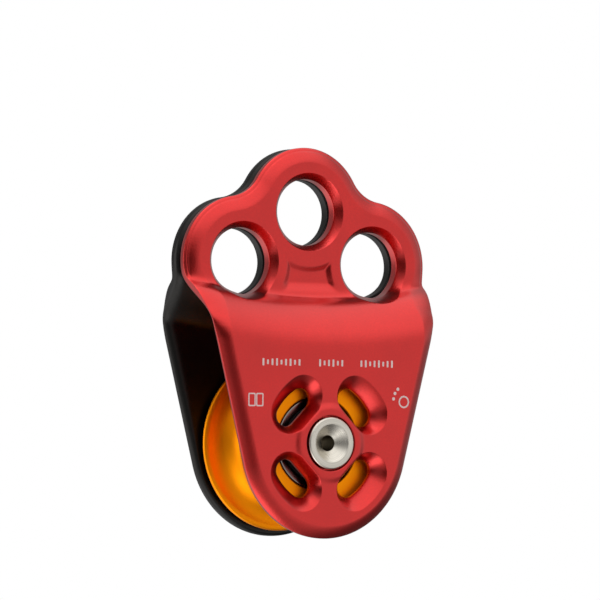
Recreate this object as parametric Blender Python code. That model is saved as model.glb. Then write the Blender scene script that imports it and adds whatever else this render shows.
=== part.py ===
"""A rope pulley with two cheeks and three attachment holes, in metres, +Z up.

The origin is the centre of the top attachment hole. Y runs along the holes and the axle, from the
front cheek at -Y to the rear cheek at +Y, and X runs to the right. Both cheeks are one forging,
made twice: flat where they meet at the top, and stepped apart below to make room for the sheave.
All sizes below are in millimetres, and one factor turns them to metres where a mesh is made.
"""

import math

import bmesh
import bpy
import numpy as np
from mathutils.geometry import delaunay_2d_cdt

MM = 0.001

# The three attachment holes, and the axle below them (x, z)
TOP_HOLE = (0.0, 0.0)
SIDE_HOLE_X = 17.8
SIDE_HOLE_Z = -12.1
AXLE_Z = -54.8
BORE_RADIUS = 7.9
BORE_BEVEL = 1.1
BORE_BEVEL_DEPTH = 1.6

# The cheek's outline
LOBE_RADIUS = 15.4
LOBE_FILLET = 9.5
SHOULDER_RADIUS = 12.0
SHOULDER_X = 18.2
SHOULDER_ABOVE_AXLE = 29.2
FOOT_RADIUS = 22.4

# The cheek's section: how far each face lies from the middle plane
MEETING_GAP = 0.2
UPPER_FACE = 4.8
LOWER_INNER = 10.5
LOWER_FACE = 14.4
STEP_TOP_OUTER = 36.8
STEP_TOP_INNER = 35.9
STEP_HEIGHT_OUTER = 10.4
STEP_HEIGHT_INNER = 11.0
STEP_LIFT_AT_SIDE = 3.0
STEP_SIDE_X = 29.0

# Its edges, windows and boss. Heights above the axle say where an edge's section changes.
ROLL_WIDTH_UPPER = 3.6
ROLL_WIDTH_LOWER = 3.0
ROLL_WIDENS_FROM = 20.0
ROLL_WIDENS_TO = 35.0
ROLL_DEPTH = 1.9
ROLL_TURNS = (0.0, 0.45, 0.75, 1.0)
HALF_ROUND = 0.3
INNER_ROUND_DEPTH = 1.6
INNER_ROUND_FOOT = 1.0
INNER_ROUND_THROAT = 2.8
INNER_ROUND_UPPER = 1.9
FOOT_ENDS = -10.0
THROAT_STARTS = 20.0
THROAT_ENDS = 27.0
UPPER_STARTS = 37.0
WINDOW_OUT = 11.8
WINDOW_ALONG = 2.7
WINDOW_END_RADIUS = 2.6
WINDOW_BEVEL_OUTER = 2.9
WINDOW_BEVEL_INNER = 1.1
WINDOW_BEVEL_DEPTH = 2.0
BOSS_RADIUS = 8.0
BOSS_HEIGHT = 0.4
HEAD_BORE_RADIUS = 6.45
HEAD_SEAT = 12.4
SHANK_BORE_RADIUS = 5.3

# The axle, a pin headed at both ends
SHANK_RADIUS = 5.0
HEAD_RADIUS = 6.1
HEAD_START = 12.7
HEAD_FACE = 15.6
HEAD_CHAMFER = 0.35
CONE_RADIUS = 4.65
CONE_DEPTH = 2.0
CENTRE_HOLE_RADIUS = 1.9

# The sheave
SHEAVE_RADIUS = 21.1
SHEAVE_HALF_WIDTH = 8.9
TREAD_RADIUS = 13.3
GROOVE_HALF_WIDTH = 7.9
GROOVE_LIP = 0.5
RIM_CHAMFER = 0.4
SEAT_CHAMFER = 0.3
BEARING_SEAT_RADIUS = 11.05
WEB_HALF_WIDTH = 2.3
WEB_BORE_RADIUS = 9.6

# The two ball bearings, 10 x 22 x 6 mm
BEARING_MIDDLE = 5.6
BEARING_HALF_WIDTH = 3.0
INNER_RACE_BORE = 5.25
INNER_RACE_LAND = 7.0
OUTER_RACE_LAND = 9.0
OUTER_RACE_RADIUS = 10.8
PITCH_RADIUS = 8.0
BALL_RADIUS = 1.5875
BALL_PLAY = 0.25
BALLS = 9
CAGE_HALF_THICKNESS = 0.55
CAGE_HALF_WIDTH = 2.15
POCKET_RADIUS = 1.85
SEAL_FROM = 2.45
SEAL_TO = 2.85
SEAL_CLEARANCE = 0.25

# The spacer between the inner races, and the washers beside them
SPACER_HALF_WIDTH = 2.3
SPACER_RADIUS = 6.8
WASHER_FROM = 8.9
WASHER_TO = 10.2
WASHER_RADIUS = 7.4

# How finely round shapes are cut
ARC_STEP = math.radians(13)
SIDE_SPACING = 2.2
STEP_POINTS_REACH = 28.0
STEP_POINTS_ACROSS = 9
STEP_POINTS_DOWN = 6
STEP_POINTS_CLEAR = 1.2
HOLE_SIDES = 24
TURNED_SIDES = 28


def clear_scene():
    for thing in list(bpy.data.objects):
        bpy.data.objects.remove(thing)


def material(name, colour, metallic, roughness):
    made = bpy.data.materials.new(name)
    made.use_nodes = True
    shader = made.node_tree.nodes["Principled BSDF"]
    shader.inputs["Base Color"].default_value = (*colour, 1.0)
    shader.inputs["Metallic"].default_value = metallic
    shader.inputs["Roughness"].default_value = roughness
    return made


def link(name, mesh, finish):
    """Puts a mesh into the scene as one smooth-shaded object."""
    mesh.materials.append(finish)
    mesh.shade_smooth()
    mesh.set_sharp_from_angle(angle=math.radians(35))
    made = bpy.data.objects.new(name, mesh)
    bpy.context.scene.collection.objects.link(made)
    return made


def mesh_from(name, points, faces):
    """A mesh from points in millimetres, with its faces turned to point out."""
    mesh = bpy.data.meshes.new(name)
    mesh.from_pydata((np.asarray(points) * MM).tolist(), [], faces)
    work = bmesh.new()
    work.from_mesh(mesh)
    bmesh.ops.recalc_face_normals(work, faces=work.faces)
    work.to_mesh(mesh)
    work.free()
    return mesh


# ---------------------------------------------------------------- turned pieces


def turned(name, profile, finish, centre_y=0.0):
    """A closed profile of (radius, y) carried round the axle's line, which gives a ring."""
    profile = np.asarray(profile, float)
    angles = np.arange(TURNED_SIDES) * 2 * math.pi / TURNED_SIDES
    radius = profile[:, 0][None, :]
    y = np.broadcast_to(profile[:, 1][None, :], (TURNED_SIDES, len(profile)))
    x = radius * np.cos(angles)[:, None]
    z = radius * np.sin(angles)[:, None]
    points = np.stack([x, y, z], axis=2).reshape(-1, 3)
    count = len(profile)
    faces = [
        (
            i * count + j,
            i * count + (j + 1) % count,
            (i + 1) % TURNED_SIDES * count + (j + 1) % count,
            (i + 1) % TURNED_SIDES * count + j,
        )
        for i in range(TURNED_SIDES)
        for j in range(count)
    ]
    made = link(name, mesh_from(name, points, faces), finish)
    made.location = (0.0, centre_y * MM, AXLE_Z * MM)
    return made


def both_ways(half):
    """A profile given from y = 0 outwards along +Y, mirrored to -Y and joined."""
    return [*half, *[(radius, -y) for radius, y in reversed(half)]]


def add_axle(finish):
    """The pin: a shank, two heads, a cone in each end and a small hole right through."""
    half = [
        (SHANK_RADIUS, HEAD_START),
        (HEAD_RADIUS, HEAD_START),
        (HEAD_RADIUS, HEAD_FACE - HEAD_CHAMFER),
        (HEAD_RADIUS - HEAD_CHAMFER, HEAD_FACE),
        (CONE_RADIUS, HEAD_FACE),
        (CENTRE_HOLE_RADIUS, HEAD_FACE - CONE_DEPTH),
    ]
    turned("axle", both_ways(half), finish)


def groove_profile(steps=7):
    """Half of the rope groove: an ellipse from the rim's lip down to the tread."""
    lip = SHEAVE_RADIUS - GROOVE_LIP
    depth = lip - TREAD_RADIUS
    turns = [math.pi / 2 * k / steps for k in range(steps + 1)]
    return [
        (lip - depth * math.sin(t), GROOVE_HALF_WIDTH * math.cos(t))
        for t in turns[:-1]
    ]


def add_sheave(finish):
    """The wheel: a deep round groove, rounded lips, and a seat for a bearing in each side."""
    half = [
        (WEB_BORE_RADIUS, WEB_HALF_WIDTH),
        (BEARING_SEAT_RADIUS, WEB_HALF_WIDTH),
        (BEARING_SEAT_RADIUS, SHEAVE_HALF_WIDTH - SEAT_CHAMFER),
        (BEARING_SEAT_RADIUS + SEAT_CHAMFER, SHEAVE_HALF_WIDTH),
        (SHEAVE_RADIUS - RIM_CHAMFER, SHEAVE_HALF_WIDTH),
        (SHEAVE_RADIUS, SHEAVE_HALF_WIDTH - RIM_CHAMFER),
        *groove_profile(),
    ]
    # the tread's lowest line closes the two halves
    profile = [*half, (TREAD_RADIUS, 0.0), *[(radius, -y) for radius, y in reversed(half)]]
    return turned("sheave", profile, finish)


def race_groove(land, toward_axle, steps=3):
    """The ball track across a race: an arc a little wider than the ball, as (radius, y)."""
    radius = BALL_RADIUS + BALL_PLAY
    reach = math.sqrt(radius**2 - (PITCH_RADIUS - land) ** 2)
    limit = math.asin(reach / radius)
    sign = -1.0 if toward_axle else 1.0
    turns = [limit - 2 * limit * k / steps for k in range(steps + 1)]
    return [(PITCH_RADIUS + sign * radius * math.cos(t), radius * math.sin(t)) for t in turns]


def add_races(side, y, steel):
    inner = [
        (INNER_RACE_BORE, -BEARING_HALF_WIDTH),
        (INNER_RACE_BORE, BEARING_HALF_WIDTH),
        (INNER_RACE_LAND, BEARING_HALF_WIDTH),
        *race_groove(INNER_RACE_LAND, toward_axle=True),
        (INNER_RACE_LAND, -BEARING_HALF_WIDTH),
    ]
    outer = [
        (OUTER_RACE_RADIUS, -BEARING_HALF_WIDTH),
        (OUTER_RACE_RADIUS, BEARING_HALF_WIDTH),
        (OUTER_RACE_LAND, BEARING_HALF_WIDTH),
        *race_groove(OUTER_RACE_LAND, toward_axle=False),
        (OUTER_RACE_LAND, -BEARING_HALF_WIDTH),
    ]
    turned(f"{side}_bearing_inner_race", inner, steel, y)
    turned(f"{side}_bearing_outer_race", outer, steel, y)


def add_seals(side, y, rubber):
    low = INNER_RACE_LAND + SEAL_CLEARANCE
    high = OUTER_RACE_LAND - SEAL_CLEARANCE
    for place, sign in (("outer", 1.0), ("inner", -1.0)):
        outward = sign if y > 0 else -sign
        near, far = outward * SEAL_FROM, outward * SEAL_TO
        profile = [(low, near), (high, near), (high, far), (low, far)]
        turned(f"{side}_bearing_{place}_seal", profile, rubber, y)


def ball_angle(k):
    return 2 * math.pi * (k + 0.5) / BALLS


def add_balls(side, y, steel):
    for k in range(BALLS):
        work = bmesh.new()
        bmesh.ops.create_icosphere(work, subdivisions=2, radius=BALL_RADIUS * MM)
        mesh = bpy.data.meshes.new(f"{side}_ball_{k + 1}")
        work.to_mesh(mesh)
        work.free()
        made = link(f"{side}_bearing_ball_{k + 1}", mesh, steel)
        made.location = (
            PITCH_RADIUS * math.cos(ball_angle(k)) * MM,
            y * MM,
            (AXLE_Z + PITCH_RADIUS * math.sin(ball_angle(k))) * MM,
        )


def pocket_cutter(side, y):
    """One round bar for each ball, pointing out from the axle through the cage."""
    work = bmesh.new()
    for k in range(BALLS):
        bar = bmesh.ops.create_cone(
            work,
            cap_ends=True,
            segments=8,
            radius1=POCKET_RADIUS * MM,
            radius2=POCKET_RADIUS * MM,
            depth=4 * MM,
        )
        turn = ball_angle(k)
        for vertex in bar["verts"]:
            across, along, out = vertex.co
            out += PITCH_RADIUS * MM
            vertex.co = (
                out * math.cos(turn) - across * math.sin(turn),
                along,
                out * math.sin(turn) + across * math.cos(turn),
            )
    bmesh.ops.recalc_face_normals(work, faces=work.faces)
    mesh = bpy.data.meshes.new(f"{side}_pockets")
    work.to_mesh(mesh)
    work.free()
    made = bpy.data.objects.new(f"{side}_pockets", mesh)
    bpy.context.scene.collection.objects.link(made)
    made.location = (0.0, y * MM, AXLE_Z * MM)
    made.hide_render = True
    made.display_type = "WIRE"
    return made


def add_cage(side, y, nylon):
    low = PITCH_RADIUS - CAGE_HALF_THICKNESS
    high = PITCH_RADIUS + CAGE_HALF_THICKNESS
    wide = CAGE_HALF_WIDTH
    cage = turned(
        f"{side}_bearing_cage", [(low, -wide), (low, wide), (high, wide), (high, -wide)], nylon, y
    )
    cut = cage.modifiers.new("pockets", "BOOLEAN")
    cut.operation = "DIFFERENCE"
    cut.object = pocket_cutter(side, y)


def add_bearing(side, y, steel, nylon, rubber):
    add_races(side, y, steel)
    add_cage(side, y, nylon)
    add_balls(side, y, steel)
    add_seals(side, y, rubber)


def plain_ring(name, low, high, start, end, finish):
    turned(name, [(low, start), (high, start), (high, end), (low, end)], finish)


# ---------------------------------------------------------------- the cheeks


def arc(centre, radius, start, end, outward=1.0):
    """Points (x, z) along an arc the short way round, with the direction out of the material."""
    end = start + math.remainder(end - start, 2 * math.pi)
    count = max(2, math.ceil(abs(end - start) / ARC_STEP) + 1)
    turns = np.linspace(start, end, count)
    ways = np.stack([np.cos(turns), np.sin(turns)], axis=1)
    return np.asarray(centre) + radius * ways, ways * outward


def angle_to(start, end):
    return math.atan2(end[1] - start[1], end[0] - start[0])


def touching_centre(first, radius1, second, radius2, radius):
    """The centre of a circle that touches two circles from outside, on their right-hand side."""
    first, second = np.asarray(first, float), np.asarray(second, float)
    far1, far2 = radius1 + radius, radius2 + radius
    gap = np.linalg.norm(second - first)
    along = (far1**2 - far2**2 + gap**2) / (2 * gap)
    off = math.sqrt(far1**2 - along**2)
    way = (second - first) / gap
    return first + along * way + off * np.array([-way[1], way[0]])


def tangent_way(first, radius1, second, radius2):
    """The direction out of the straight line that touches two circles on their right."""
    gap = math.dist(first, second)
    return angle_to(second, first) - math.acos((radius2 - radius1) / gap)


def side_points(first, radius1, second, radius2, turn):
    """Points along that line, close enough together to follow the step."""
    way = np.array([math.cos(turn), math.sin(turn)])
    start, end = np.asarray(first) + radius1 * way, np.asarray(second) + radius2 * way
    count = max(2, round(math.dist(start, end) / SIDE_SPACING))
    share = np.linspace(0.0, 1.0, count + 1)[1:-1, None]
    points = start + (end - start) * share
    return points, np.broadcast_to(way, points.shape)


def right_half():
    """The outline's right half, from the top of the top lobe down to the foot."""
    lobe = (SIDE_HOLE_X, SIDE_HOLE_Z)
    shoulder = (SHOULDER_X, AXLE_Z + SHOULDER_ABOVE_AXLE)
    foot = (0.0, AXLE_Z)
    valley = touching_centre(TOP_HOLE, LOBE_RADIUS, lobe, LOBE_RADIUS, LOBE_FILLET)
    # straight sides touch the lobe's, the shoulder's and the foot's arcs
    upper = tangent_way(lobe, LOBE_RADIUS, shoulder, SHOULDER_RADIUS)
    lower = tangent_way(shoulder, SHOULDER_RADIUS, foot, FOOT_RADIUS)
    return [
        arc(TOP_HOLE, LOBE_RADIUS, math.pi / 2, angle_to(TOP_HOLE, valley)),
        arc(valley, LOBE_FILLET, angle_to(valley, TOP_HOLE), angle_to(valley, lobe), -1.0),
        arc(lobe, LOBE_RADIUS, angle_to(lobe, valley), upper),
        side_points(lobe, LOBE_RADIUS, shoulder, SHOULDER_RADIUS, upper),
        arc(shoulder, SHOULDER_RADIUS, upper, lower),
        side_points(shoulder, SHOULDER_RADIUS, foot, FOOT_RADIUS, lower),
        arc(foot, FOOT_RADIUS, lower, -math.pi / 2),
    ]


def outline():
    """The whole outline, clockwise from the top, as points and outward directions."""
    points, ways = zip(*right_half())
    points, ways = np.concatenate(points), np.concatenate(ways)
    apart = np.linalg.norm(np.diff(points, axis=0), axis=1)
    keep = np.concatenate([[True], apart > 0.05])
    points, ways = points[keep], ways[keep]
    mirror = np.array([-1.0, 1.0])
    left = points[-2:0:-1] * mirror
    return np.concatenate([points, left]), np.concatenate([ways, ways[-2:0:-1] * mirror])


def circle(centre, radius):
    turns = np.arange(HOLE_SIDES) * 2 * math.pi / HOLE_SIDES
    ways = np.stack([np.cos(turns), np.sin(turns)], axis=1)
    return np.asarray(centre) + radius * ways, ways


def window(turn):
    """A kidney-shaped window: two round ends, a straight inner side and an outer arc."""
    end = (WINDOW_OUT, WINDOW_ALONG)
    lean = math.atan2(WINDOW_ALONG, WINDOW_OUT)
    rim = math.hypot(*end) + WINDOW_END_RADIUS
    other_end = (WINDOW_OUT, -WINDOW_ALONG)
    pieces = [
        arc((0.0, 0.0), rim, -lean, lean),
        arc(end, WINDOW_END_RADIUS, lean, math.pi),
        arc(other_end, WINDOW_END_RADIUS, -math.pi, -lean),
    ]
    points, ways = zip(*[(p[:-1], w[:-1]) for p, w in pieces])
    points, ways = np.concatenate(points), np.concatenate(ways)
    # the bevel is wider on the side away from the axle
    share = (ways[:, 0] + 1) / 2
    growth = WINDOW_BEVEL_INNER + (WINDOW_BEVEL_OUTER - WINDOW_BEVEL_INNER) * share
    spin = np.array([[math.cos(turn), math.sin(turn)], [-math.sin(turn), math.cos(turn)]])
    return points @ spin + (0.0, AXLE_Z), ways @ spin, growth[:, None]


def eased(t):
    """0 before the step, 1 after it, and a smooth S between."""
    t = np.clip(t, 0.0, 1.0)
    return t * t * (3 - 2 * t)


def blend(where, start, end, first, last):
    """A value that eases from first to last as where goes from start to end."""
    return first + (last - first) * eased((where - start) / (end - start))


def step_lift(x):
    """The step's foot line sags in the middle of the cheek."""
    return STEP_LIFT_AT_SIDE * (x / STEP_SIDE_X) ** 2


def outer_face(points):
    x, above = points[:, 0], points[:, 1] - AXLE_Z
    t = (STEP_TOP_OUTER + step_lift(x) - above) / STEP_HEIGHT_OUTER
    return UPPER_FACE + (LOWER_FACE - UPPER_FACE) * eased(t)


def inner_face(points):
    x, above = points[:, 0], points[:, 1] - AXLE_Z
    t = (STEP_TOP_INNER + step_lift(x) - above) / STEP_HEIGHT_INNER
    return MEETING_GAP + (LOWER_INNER - MEETING_GAP) * eased(t)


def ring(points, level):
    return np.column_stack([points, np.broadcast_to(level, len(points))])


def edge_rings():
    """Rings round the outline, from the outer face over the rolled edge to the inner face."""
    points, ways = outline()
    above = points[:, 1:] - AXLE_Z
    width = blend(above, ROLL_WIDENS_FROM, ROLL_WIDENS_TO, ROLL_WIDTH_LOWER, ROLL_WIDTH_UPPER)
    lower = blend(above, FOOT_ENDS, THROAT_STARTS, INNER_ROUND_FOOT, INNER_ROUND_THROAT)
    upper = blend(above, THROAT_ENDS, UPPER_STARTS, INNER_ROUND_THROAT, INNER_ROUND_UPPER)
    inner = np.minimum(lower, upper)
    rings = []
    for turn in ROLL_TURNS:
        inset = 1 - math.sin(turn * math.pi / 2)
        drop = 1 - math.cos(turn * math.pi / 2)
        where = points - ways * width * inset
        rings.append(ring(where, outer_face(points - ways * width) - ROLL_DEPTH * drop))
    flat = points - ways * inner
    rings.append(ring(points, inner_face(flat) + INNER_ROUND_DEPTH))
    half = points - ways * inner * HALF_ROUND
    rings.append(ring(half, inner_face(flat) + INNER_ROUND_DEPTH * HALF_ROUND))
    rings.append(ring(flat, inner_face(flat)))
    return rings


def bore_rings(centre):
    """Rings through an attachment hole, from its rolled outer rim to the inner face."""
    points, ways = circle(centre, BORE_RADIUS)
    rim = points + ways * BORE_BEVEL
    half = points + ways * BORE_BEVEL * HALF_ROUND
    deep = UPPER_FACE - BORE_BEVEL_DEPTH
    return [
        ring(rim, outer_face(rim)),
        ring(half, UPPER_FACE - BORE_BEVEL_DEPTH * HALF_ROUND),
        ring(points, deep),
        ring(points, inner_face(points)),
    ]


def window_rings(turn):
    points, ways, growth = window(turn)
    rim = points + ways * growth
    half = points + ways * growth * HALF_ROUND
    return [
        ring(rim, outer_face(rim)),
        ring(half, LOWER_FACE - WINDOW_BEVEL_DEPTH * HALF_ROUND),
        ring(points, LOWER_FACE - WINDOW_BEVEL_DEPTH),
        ring(points, inner_face(points)),
    ]


def boss_rings():
    """Rings round the axle: the raised boss, the counterbore for the head and its seat."""
    foot = (0.0, AXLE_Z)
    top = LOWER_FACE + BOSS_HEIGHT
    return [
        ring(circle(foot, BOSS_RADIUS)[0], LOWER_FACE),
        ring(circle(foot, BOSS_RADIUS - BOSS_HEIGHT)[0], top),
        ring(circle(foot, HEAD_BORE_RADIUS)[0], top),
        ring(circle(foot, HEAD_BORE_RADIUS)[0], HEAD_SEAT),
        ring(circle(foot, SHANK_BORE_RADIUS)[0], HEAD_SEAT),
        ring(circle(foot, SHANK_BORE_RADIUS)[0], LOWER_INNER),
    ]


def inside(points, polygon):
    """Whether each point lies in the polygon: the edges it crosses on its right are counted."""
    x, z = points[:, 0][:, None], points[:, 1][:, None]
    x1, z1 = polygon.T
    x2, z2 = np.roll(polygon, -1, axis=0).T
    crosses = (z1 > z) != (z2 > z)
    where = x1 + (z - z1) * (x2 - x1) / np.where(z2 == z1, 1.0, z2 - z1)
    return (crosses & (x < where)).sum(axis=1) % 2 == 1


def step_points(top, height, loops):
    """Points along the step, where the face between the rings bends."""
    across = np.linspace(-STEP_POINTS_REACH, STEP_POINTS_REACH, STEP_POINTS_ACROSS)
    found = []
    for part in np.linspace(0.0, 1.0, STEP_POINTS_DOWN):
        z = AXLE_Z + top + step_lift(across) - part * height
        found.append(np.column_stack([across, z]))
    found = np.concatenate(found)
    edge = np.concatenate([loop[:, :2] for loop in loops])
    apart = np.linalg.norm(found[:, None] - edge[None], axis=2).min(axis=1)
    held = inside(found, loops[0][:, :2])
    for hole in loops[1:]:
        held &= ~inside(found, hole[:, :2])
    return found[held & (apart > STEP_POINTS_CLEAR)]


def face_fill(loops, extra, level):
    """Triangles between the loops: one outer and the rest holes, as points and index triples."""
    flat = np.concatenate([loop[:, :2] for loop in loops] + [extra])
    starts = np.cumsum([0] + [len(loop) for loop in loops])
    edges = [
        (start + k, start + (k + 1) % (end - start))
        for start, end in zip(starts[:-1], starts[1:])
        for k in range(end - start)
    ]
    points, _, faces, origins, _, _ = delaunay_2d_cdt(flat.tolist(), edges, [], 1, 1e-6)
    faces = np.array([[origins[k][0] for k in face] for face in faces])
    centres = flat[faces].mean(axis=1)
    keep = np.ones(len(faces), bool)
    for hole in loops[1:]:
        keep &= ~inside(centres, hole[:, :2])
    return ring(extra, level(extra)), faces[keep]


def cheek(name, side, finish):
    """One cheek: closed walls round its outline and every hole, and two faces between them."""
    walls = [edge_rings(), bore_rings(TOP_HOLE)]
    walls += [bore_rings((x, SIDE_HOLE_Z)) for x in (-SIDE_HOLE_X, SIDE_HOLE_X)]
    walls += [window_rings(math.radians(turn)) for turn in (45, 135, 225, 315)]
    walls.append(boss_rings())
    points, faces, first, last = [], [], [], []
    total = 0
    for wall in walls:
        size = len(wall[0])
        first.append(total + np.arange(size))
        for k in range(len(wall) - 1):
            low = total + k * size
            faces += [
                (low + j, low + (j + 1) % size, low + size + (j + 1) % size, low + size + j)
                for j in range(size)
            ]
        points += wall
        total += size * len(wall)
        last.append(total - size + np.arange(size))
    sides = (
        (first, [wall[0] for wall in walls], STEP_TOP_OUTER, STEP_HEIGHT_OUTER, outer_face),
        (last, [wall[-1] for wall in walls], STEP_TOP_INNER, STEP_HEIGHT_INNER, inner_face),
    )
    for own, loops, top, height, level in sides:
        extra = step_points(top, height, loops)
        more, triangles = face_fill(loops, extra, level)
        own = np.concatenate([*own, total + np.arange(len(more))])
        faces += own[triangles].tolist()
        points.append(more)
        total += len(more)
    points = np.concatenate(points)[:, [0, 2, 1]]
    points[:, 1] *= side
    made = link(name, mesh_from(name, points, faces), finish)
    hang_on_axle(made)


def hang_on_axle(made):
    """Moves the object's origin onto the axle's line and leaves its shape where it is."""
    for vertex in made.data.vertices:
        vertex.co.z -= AXLE_Z * MM
    made.location.z = AXLE_Z * MM


def main():
    clear_scene()
    red = material("red_anodised_forging", (0.55, 0.03, 0.03), 0.8, 0.35)
    black = material("black_anodised_forging", (0.015, 0.015, 0.016), 0.5, 0.4)
    orange = material("orange_anodised_aluminium", (0.9, 0.26, 0.01), 0.9, 0.3)
    stainless = material("turned_stainless_steel", (0.6, 0.58, 0.55), 1.0, 0.3)
    steel = material("bearing_steel", (0.5, 0.5, 0.51), 1.0, 0.15)
    nylon = material("moulded_nylon", (0.06, 0.06, 0.06), 0.0, 0.5)
    rubber = material("nitrile_rubber", (0.02, 0.02, 0.02), 0.0, 0.6)

    cheek("front_cheek", -1.0, red)
    cheek("rear_cheek", 1.0, black)
    add_axle(stainless)
    add_sheave(orange)
    for side, y in (("front", -BEARING_MIDDLE), ("rear", BEARING_MIDDLE)):
        add_bearing(side, y, steel, nylon, rubber)
    plain_ring(
        "bearing_spacer",
        INNER_RACE_BORE,
        SPACER_RADIUS,
        -SPACER_HALF_WIDTH,
        SPACER_HALF_WIDTH,
        steel,
    )
    for side, sign in (("front", -1.0), ("rear", 1.0)):
        plain_ring(
            f"{side}_thrust_washer",
            INNER_RACE_BORE,
            WASHER_RADIUS,
            sign * WASHER_FROM,
            sign * WASHER_TO,
            nylon,
        )


main()
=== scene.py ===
# %% [markdown]
# # A rope pulley, dressed around its measured frame
#
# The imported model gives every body, size and joint. This script builds the surfaces that the eye
# sees: two forged cheeks, a turned sheave, an axle, two ball bearings, and their finishes.
# Shapes are in millimetres, and turn to metres where a mesh is made.

import math

import bmesh
import bpy
import numpy as np
from mathutils import Matrix, Vector
from mathutils.geometry import delaunay_2d_cdt


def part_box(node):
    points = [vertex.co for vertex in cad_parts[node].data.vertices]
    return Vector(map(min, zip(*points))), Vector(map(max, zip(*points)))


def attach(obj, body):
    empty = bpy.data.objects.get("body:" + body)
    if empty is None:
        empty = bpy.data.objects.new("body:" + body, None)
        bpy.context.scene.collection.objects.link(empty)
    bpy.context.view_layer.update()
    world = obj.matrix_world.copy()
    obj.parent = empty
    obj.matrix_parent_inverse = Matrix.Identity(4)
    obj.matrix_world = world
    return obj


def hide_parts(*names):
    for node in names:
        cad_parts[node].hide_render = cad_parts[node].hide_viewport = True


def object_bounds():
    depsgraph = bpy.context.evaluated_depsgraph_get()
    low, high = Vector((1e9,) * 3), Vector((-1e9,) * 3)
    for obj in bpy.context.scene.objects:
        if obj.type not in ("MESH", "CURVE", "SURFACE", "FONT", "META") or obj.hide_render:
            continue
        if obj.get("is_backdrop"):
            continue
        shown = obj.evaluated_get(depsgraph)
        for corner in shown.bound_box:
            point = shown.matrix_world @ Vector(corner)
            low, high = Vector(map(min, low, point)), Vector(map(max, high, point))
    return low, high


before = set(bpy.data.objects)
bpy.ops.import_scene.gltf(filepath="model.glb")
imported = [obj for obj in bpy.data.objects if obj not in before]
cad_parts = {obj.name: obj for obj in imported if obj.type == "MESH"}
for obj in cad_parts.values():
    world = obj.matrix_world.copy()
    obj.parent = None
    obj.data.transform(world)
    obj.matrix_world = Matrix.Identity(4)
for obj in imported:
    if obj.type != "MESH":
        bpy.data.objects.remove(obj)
cad_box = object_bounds()
MM = 0.001

# %% [markdown]
# Every place comes from the frame. The origin is the top attachment hole, Y runs along the axle,
# and the axle's height is the middle of its own box. Shapes on the cheeks are drawn in x and h,
# where h is the height above the axle, because most of their features are placed from it.

# %% Places that the frame gives
def box_mm(node):
    """A node's lowest and highest corner, in millimetres."""
    return np.array(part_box(node)) / MM


AXLE_LOW, AXLE_HIGH = box_mm("axle")
AXLE_Z = (AXLE_LOW[2] + AXLE_HIGH[2]) / 2
HEAD_FACE = AXLE_HIGH[1]
HEAD_RADIUS = AXLE_HIGH[0]
SHEAVE_RADIUS = box_mm("sheave")[1][0]
SHEAVE_HALF_WIDTH = box_mm("sheave")[1][1]
FOOT_RADIUS = AXLE_Z - box_mm("front_cheek")[0][2]
TOP_HOLE = (0.0, -AXLE_Z)
SIDE_HOLE_X, SIDE_HOLE_H = 17.8, -12.1 - AXLE_Z
print(f"axle {-AXLE_Z:.1f} mm under the top hole, sheave radius {SHEAVE_RADIUS:.1f} mm")

# %% [markdown]
# ## Making meshes
#
# A shape is a block of points worked out at once, and the faces between its rows are index
# arithmetic, so no loop runs over the vertices. Each mesh keeps its place in its own points, and
# its object stays at the origin. The normals are recalculated at the end, so all point outwards.

# %% Grid faces and mesh objects
SHARP_FROM = math.radians(35)  # an edge that turns by more than this is drawn sharp


def grid_faces(rows, columns, wrap_rows=False, start=0):
    """Four-sided faces between neighbouring rows of a grid whose columns run in a ring."""
    i = np.arange(rows if wrap_rows else rows - 1)[:, None]
    j = np.arange(columns)[None, :]
    up, along = (i + 1) % rows, (j + 1) % columns
    corners = (i * columns + j, i * columns + along, up * columns + along, up * columns + j)
    return start + np.stack(np.broadcast_arrays(*corners), axis=-1).reshape(-1, 4)


def capped(rings, first_pole, last_pole):
    """Rings of points closed by a fan of triangles at each end: all the points, and the faces."""
    rows, count = rings.shape[:2]
    ring, ahead = np.arange(count), (np.arange(count) + 1) % count
    last, poles = (rows - 1) * count, rows * count
    low = np.column_stack([ahead, ring, np.full(count, poles)])
    high = np.column_stack([last + ring, last + ahead, np.full(count, poles + 1)])
    points = np.concatenate([rings.reshape(-1, 3), [first_pole, last_pole]])
    return points, [grid_faces(rows, count), low, high]


def make_object(name, points, face_blocks, material):
    """A smooth object from points in millimetres and blocks of three- or four-sided faces."""
    mesh = bpy.data.meshes.new(name)
    corners = np.concatenate([block.ravel() for block in face_blocks])
    sizes = np.concatenate([np.full(len(block), block.shape[1]) for block in face_blocks])
    mesh.vertices.add(len(points))
    mesh.vertices.foreach_set("co", (points * MM).astype(np.float32).ravel())
    mesh.loops.add(len(corners))
    mesh.loops.foreach_set("vertex_index", corners.astype(np.int32))
    mesh.polygons.add(len(sizes))
    mesh.polygons.foreach_set("loop_start", (np.cumsum(sizes) - sizes).astype(np.int32))
    mesh.update(calc_edges=True)
    work = bmesh.new()
    work.from_mesh(mesh)
    bmesh.ops.recalc_face_normals(work, faces=work.faces)
    open_edges = sum(not edge.is_manifold for edge in work.edges)
    work.to_mesh(mesh)
    work.free()
    mesh.shade_smooth()
    mesh.set_sharp_from_angle(angle=SHARP_FROM)
    mesh.materials.append(material)
    made = bpy.data.objects.new(name, mesh)
    bpy.context.scene.collection.objects.link(made)
    print(f"{name}: {len(points)} points, {len(sizes)} faces, {open_edges} open edges")
    return made


def dress(piece, node, body):
    """Shows a piece in place of a CAD node."""
    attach(piece, body)
    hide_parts(node)

# %% [markdown]
# ## The camera
#
# The camera stands to the left of the pulley's front, level with the axle, with a long lens. It
# looks a little upwards and leans by under half a degree.

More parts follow.
